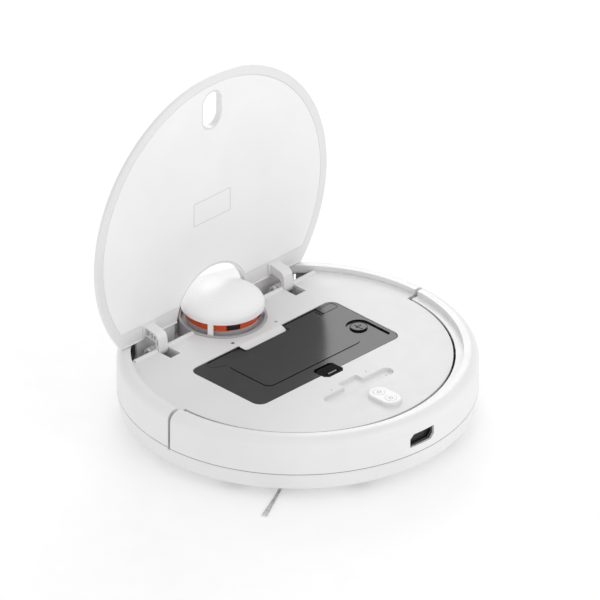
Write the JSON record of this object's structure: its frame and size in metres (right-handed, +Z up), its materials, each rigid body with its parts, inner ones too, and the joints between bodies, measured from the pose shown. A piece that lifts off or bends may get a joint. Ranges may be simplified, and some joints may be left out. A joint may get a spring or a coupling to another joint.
{
  "type": "robot vacuum cleaner",
  "caption": "Round robot vacuum cleaner with a hinged top lid standing open over its lift-out dust bin, a laser tower, a front bumper, driven wheels and brushes.",
  "frame": {"origin": "on the floor, below the centre of the round body", "axes": "+Z up, front with the bumper towards -Y, +X to the robot's left, X = 0 the plane of symmetry; the lid stands open at the rear"},
  "size_m": [0.35, 0.349, 0.3228],
  "materials": {
    "white_shell": "fine satin moulding",
    "deck_white": "satin moulding",
    "trough_white": "moulded, unpolished",
    "panel_white": "fine matte texture",
    "bottom_white": "fine matte texture",
    "inner_grey": "moulded, unpolished",
    "black_plastic": "fine matte texture",
    "gloss_black": "polished, infrared clear",
    "smoky_clear": "polished smoky tint",
    "smoky_tub": "moulded smoky tint",
    "orange_plastic": "glossy tinted band",
    "filter_paper": "folded filter paper",
    "tyre_rubber": "moulded tread rubber",
    "hub_plastic": "moulded",
    "grey_rubber": "soft rubber",
    "bristle": "nylon bristle",
    "dark_bristle": "nylon bristle and rubber",
    "steel": "turned pins and drawn wire",
    "contact_metal": "plated spring contacts",
    "motor_can": "zinc plated can",
    "circuit_green": "solder mask",
    "battery_wrap": "shrink wrap over cells",
    "belt_rubber": "drive belt"
  },
  "bodies": {
    "chassis": {"side_casing": "white_shell", "bottom_chassis": "bottom_white", "deck_cover": "deck_white", "hinge_trough": "trough_white", "casing_screws": "steel", "bin_bay": "inner_grey", "wheel_housings": "inner_grey", "wheel_pivot_pins": "steel", "coil_springs": "steel", "caster_socket": "bottom_white", "brush_bay": "inner_grey", "brush_guard": "hub_plastic", "brush_motor": "motor_can", "side_brush_motor": "motor_can", "battery_pack": "battery_wrap", "battery_door": "bottom_white", "circuit_boards": "circuit_green", "fan_housing": "black_plastic", "fan_motor": "motor_can", "speaker": "black_plastic", "charge_contacts": "contact_metal", "cliff_sensors": "gloss_black", "bumper_switches": "black_plastic", "button_pad": "white_shell", "tower_base": "inner_grey", "tower_cap": "white_shell", "laser_motor": "motor_can", "laser_belt": "belt_rubber", "hinge_pins": "steel", "hinge_brackets": "deck_white"},
    "bumper": {"bumper_shell": "white_shell", "window_frame": "black_plastic", "window_lens": "gloss_black"},
    "power_key": {"power_button": "white_shell"},
    "home_key": {"home_button": "white_shell"},
    "turret": {"turret_drum": "orange_plastic", "turret_lenses": "gloss_black"},
    "belt_pulley": {"motor_pulley": "black_plastic"},
    "dust_bin": {"bin_cover": "smoky_clear", "bin_tub": "smoky_tub", "outlet_filter": "filter_paper"},
    "latch": {"bin_latch": "gloss_black"},
    "plug": {"water_plug": "smoky_clear"},
    "lid": {"lid_shell": "white_shell", "lid_panel": "panel_white", "hinge_arms": "white_shell"},
    "left_arm": {"left_wheel_arm": "black_plastic"},
    "right_arm": {"right_wheel_arm": "black_plastic"},
    "left_wheel": {"left_wheel_hub": "hub_plastic", "left_wheel_tyre": "tyre_rubber"},
    "right_wheel": {"right_wheel_hub": "hub_plastic", "right_wheel_tyre": "tyre_rubber"},
    "caster": {"caster_fork": "black_plastic"},
    "caster_roller": {"caster_wheel": "bottom_white"},
    "main_brush": {"brush_roller": "hub_plastic", "brush_bristles": "dark_bristle"},
    "pinion": {"brush_pinion": "bottom_white"},
    "side_brush": {"side_brush_hub": "grey_rubber", "side_brush_tufts": "bristle"},
    "fan": {"fan_impeller": "bottom_white"}
  },
  "joints": [
    {"name": "lid_hinge", "type": "hinge", "parent": "chassis", "child": "lid", "pos_m": [0, 0.108, 0.0583], "axis": [1, 0, 0], "range_deg": [0, 90]},
    {"name": "bumper_push", "type": "slide", "parent": "chassis", "child": "bumper", "axis": [0, 1, 0], "range_m": [0, 0.002], "stiffness_N_per_m": 600},
    {"name": "power_press", "type": "slide", "parent": "chassis", "child": "power_key", "axis": [0, 0, -1], "range_m": [0, 0.0008], "stiffness_N_per_m": 500},
    {"name": "home_press", "type": "slide", "parent": "chassis", "child": "home_key", "axis": [0, 0, -1], "range_m": [0, 0.0008], "stiffness_N_per_m": 500},
    {"name": "turret_spin", "type": "hinge", "parent": "chassis", "child": "turret", "pos_m": [0, 0.1018, 0.06], "axis": [0, 0, 1], "continuous": true},
    {"name": "belt_pulley_spin", "type": "hinge", "parent": "chassis", "child": "belt_pulley", "pos_m": [0.033, 0.0898, 0.05], "axis": [0, 0, 1], "continuous": true},
    {"name": "bin_lift", "type": "slide", "parent": "chassis", "child": "dust_bin", "axis": [0, 0, 1], "range_m": [0, 0.07]},
    {"name": "latch_slide", "type": "slide", "parent": "dust_bin", "child": "latch", "axis": [0, 1, 0], "range_m": [0, 0.003], "stiffness_N_per_m": 300},
    {"name": "plug_pull", "type": "slide", "parent": "dust_bin", "child": "plug", "axis": [0, 0, 1], "range_m": [0, 0.015]},
    {"name": "left_suspension", "type": "hinge", "parent": "chassis", "child": "left_arm", "pos_m": [0.115, -0.014, 0.036], "axis": [-1, 0, 0], "range_deg": [0, 20], "stiffness_Nm_per_rad": 0.25, "springref_deg": 34.38},
    {"name": "right_suspension", "type": "hinge", "parent": "chassis", "child": "right_arm", "pos_m": [-0.115, -0.014, 0.036], "axis": [-1, 0, 0], "range_deg": [0, 20], "stiffness_Nm_per_rad": 0.25, "springref_deg": 34.38},
    {"name": "left_wheel_spin", "type": "hinge", "parent": "left_arm", "child": "left_wheel", "pos_m": [0.121, 0.022, 0.028], "axis": [1, 0, 0], "continuous": true},
    {"name": "right_wheel_spin", "type": "hinge", "parent": "right_arm", "child": "right_wheel", "pos_m": [-0.121, 0.022, 0.028], "axis": [1, 0, 0], "continuous": true},
    {"name": "caster_swivel", "type": "hinge", "parent": "chassis", "child": "caster", "pos_m": [0, -0.121, 0.025], "axis": [0, 0, 1], "continuous": true},
    {"name": "caster_roll", "type": "hinge", "parent": "caster", "child": "caster_roller", "pos_m": [0, -0.116, 0.0125], "axis": [1, 0, 0], "continuous": true},
    {"name": "brush_spin", "type": "hinge", "parent": "chassis", "child": "main_brush", "pos_m": [0, -0.07, 0.0225], "axis": [1, 0, 0], "continuous": true},
    {"name": "pinion_spin", "type": "hinge", "parent": "chassis", "child": "pinion", "pos_m": [0.088, -0.05929, 0.03321], "axis": [1, 0, 0], "continuous": true},
    {"name": "side_brush_spin", "type": "hinge", "parent": "chassis", "child": "side_brush", "pos_m": [-0.095, -0.085, 0.01], "axis": [0, 0, 1], "continuous": true},
    {"name": "fan_spin", "type": "hinge", "parent": "chassis", "child": "fan", "pos_m": [0.048, 0.092, 0.025], "axis": [0, 0, 1], "continuous": true}
  ],
  "couplings": [
    {"joint": "belt_pulley_spin", "follows": "turret_spin", "ratio": 3.6667},
    {"joint": "pinion_spin", "follows": "brush_spin", "ratio": -1.5}
  ]
}
